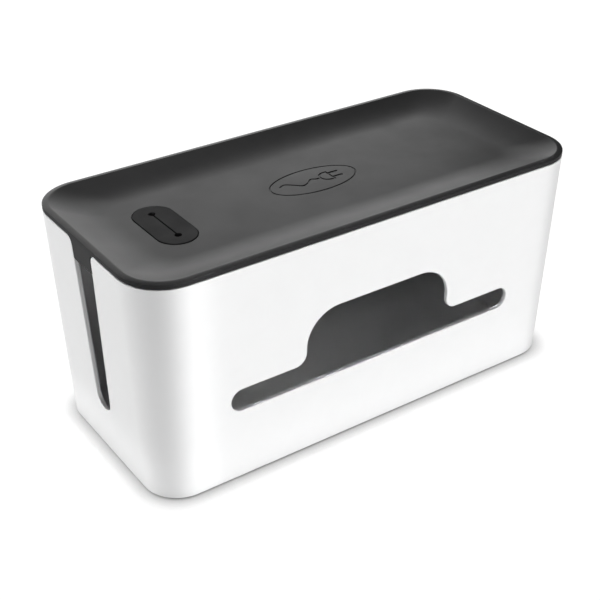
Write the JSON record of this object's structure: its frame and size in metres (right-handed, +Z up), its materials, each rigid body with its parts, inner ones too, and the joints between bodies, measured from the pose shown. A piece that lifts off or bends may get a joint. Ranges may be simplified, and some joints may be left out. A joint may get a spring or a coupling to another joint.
{
  "type": "cable management box",
  "caption": "Drafted white box with a dark lift-off dished lid that hides a power strip and its cables; slots at both ends and in front, slit grommet on top.",
  "frame": {"origin": "on the ground under the centre of the box, at the bottoms of the feet", "axes": "+X along the length, away from the lid's grommet; +Y towards the plain back wall, so the front cut-out faces -Y; +Z up"},
  "size_m": [0.32, 0.1474, 0.1516],
  "materials": {
    "shell_white": "smooth, light gloss, injection moulded",
    "lid_dark": "satin, fine moulded texture, dark grey",
    "grommet_rubber": "matt soft-touch rubber",
    "foot_rubber": "matt rubber"
  },
  "bodies": {
    "box": {"outer_shell": "shell_white", "foot_front_left": "foot_rubber", "foot_front_right": "foot_rubber", "foot_rear_left": "foot_rubber", "foot_rear_right": "foot_rubber"},
    "cover": {"lid": "lid_dark", "lid_grommet": "grommet_rubber"}
  },
  "joints": [
    {"name": "lid_lift", "type": "slide", "parent": "box", "child": "cover", "axis": [0, 0, 1], "range_m": [0, 0.1]}
  ]
}
